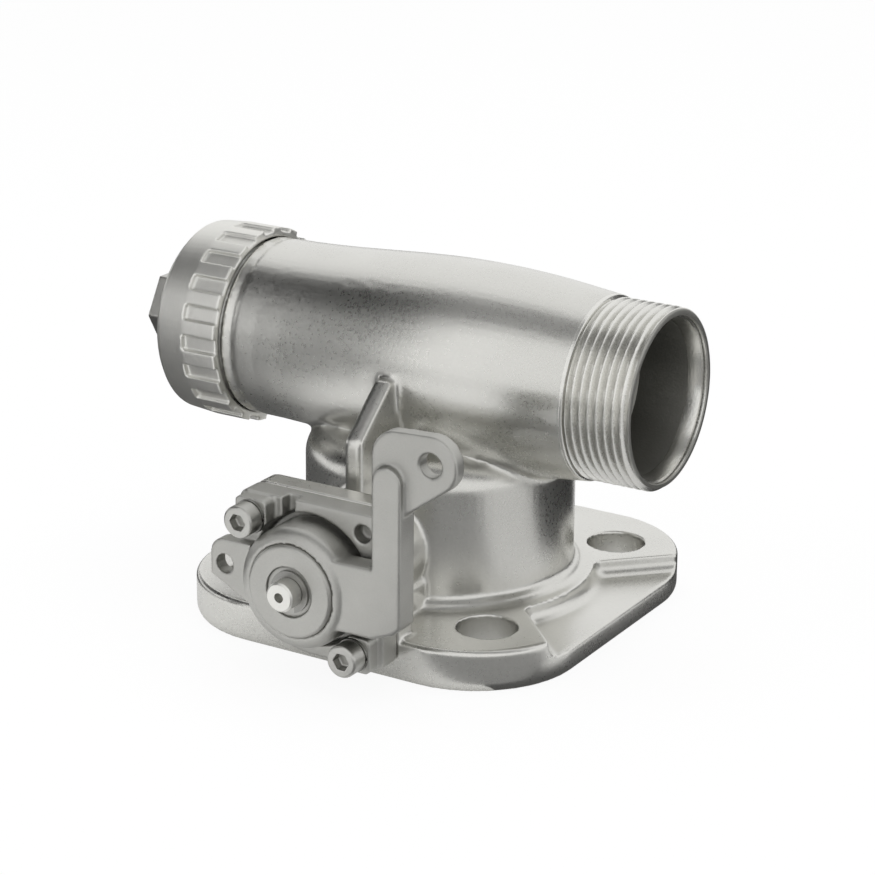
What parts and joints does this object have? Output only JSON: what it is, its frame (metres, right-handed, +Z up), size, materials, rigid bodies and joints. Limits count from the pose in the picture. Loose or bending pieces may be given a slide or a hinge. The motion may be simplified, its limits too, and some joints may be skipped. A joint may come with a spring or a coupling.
{
  "type": "flanged ball valve",
  "caption": "Tank-bottom ball valve with a square flange, a side lever, a T-shaped outlet tube with one threaded mouth, and a plugged cap on the other end.",
  "frame": {"origin": "centre of the flange's bottom face", "axes": "+Z up the ball chamber to the tube, +X along the tube to the open threaded outlet, -Y out to the lever"},
  "size_m": [0.1562, 0.1333, 0.0951],
  "materials": {
    "cast_steel": "satin",
    "lever_steel": "blasted",
    "turned_steel": "turned",
    "bolt_steel": "bright",
    "spring_steel": "dark",
    "polished_ball": "polished",
    "seat_plastic": "smooth",
    "seal_rubber": "matte",
    "gasket_plastic": "matte"
  },
  "bodies": {
    "casing": {"valve_body": "cast_steel", "seat_retainer": "turned_steel", "retainer_o_ring": "seal_rubber", "upper_seat": "seat_plastic", "lower_seat": "seat_plastic", "thrust_washer": "seat_plastic", "packing_rings": "seat_plastic", "gland_bush": "turned_steel", "disc_springs": "spring_steel", "bonnet": "lever_steel", "bonnet_gasket": "gasket_plastic", "bonnet_screws": "bolt_steel", "spring_washers": "spring_steel"},
    "rotor": {"lever": "lever_steel", "hub_plate": "lever_steel", "stem_clip": "spring_steel", "stem": "turned_steel", "stem_nut": "bolt_steel", "stem_o_ring": "seal_rubber", "ball": "polished_ball"},
    "cap_carrier": {"cap_gasket": "gasket_plastic"},
    "cap": {"end_cap": "turned_steel"},
    "plug_carrier": {"plug_washer": "gasket_plastic"},
    "plug": {"cap_plug": "bolt_steel"}
  },
  "joints": [
    {"name": "lever_turn", "type": "hinge", "parent": "casing", "child": "rotor", "pos_m": [0, -0.0732, 0.0257], "axis": [0, -1, 0], "range_deg": [0, 90]},
    {"name": "cap_travel", "type": "slide", "parent": "casing", "child": "cap_carrier", "axis": [-1, 0, 0], "range_m": [0, 0.01617]},
    {"name": "cap_turn", "type": "hinge", "parent": "cap_carrier", "child": "cap", "pos_m": [-0.065, 0, 0.0678], "axis": [-1, 0, 0], "range_deg": [0, 2520]},
    {"name": "plug_travel", "type": "slide", "parent": "cap", "child": "plug_carrier", "axis": [-1, 0, 0], "range_m": [0, 0.00803]},
    {"name": "plug_turn", "type": "hinge", "parent": "plug_carrier", "child": "plug", "pos_m": [-0.08, 0, 0.0678], "axis": [-1, 0, 0], "range_deg": [0, 2160]}
  ],
  "couplings": [
    {"joint": "cap_travel", "follows": "cap_turn", "m_per_rad": 0.00036749},
    {"joint": "plug_travel", "follows": "plug_turn", "m_per_rad": 0.00021279}
  ]
}
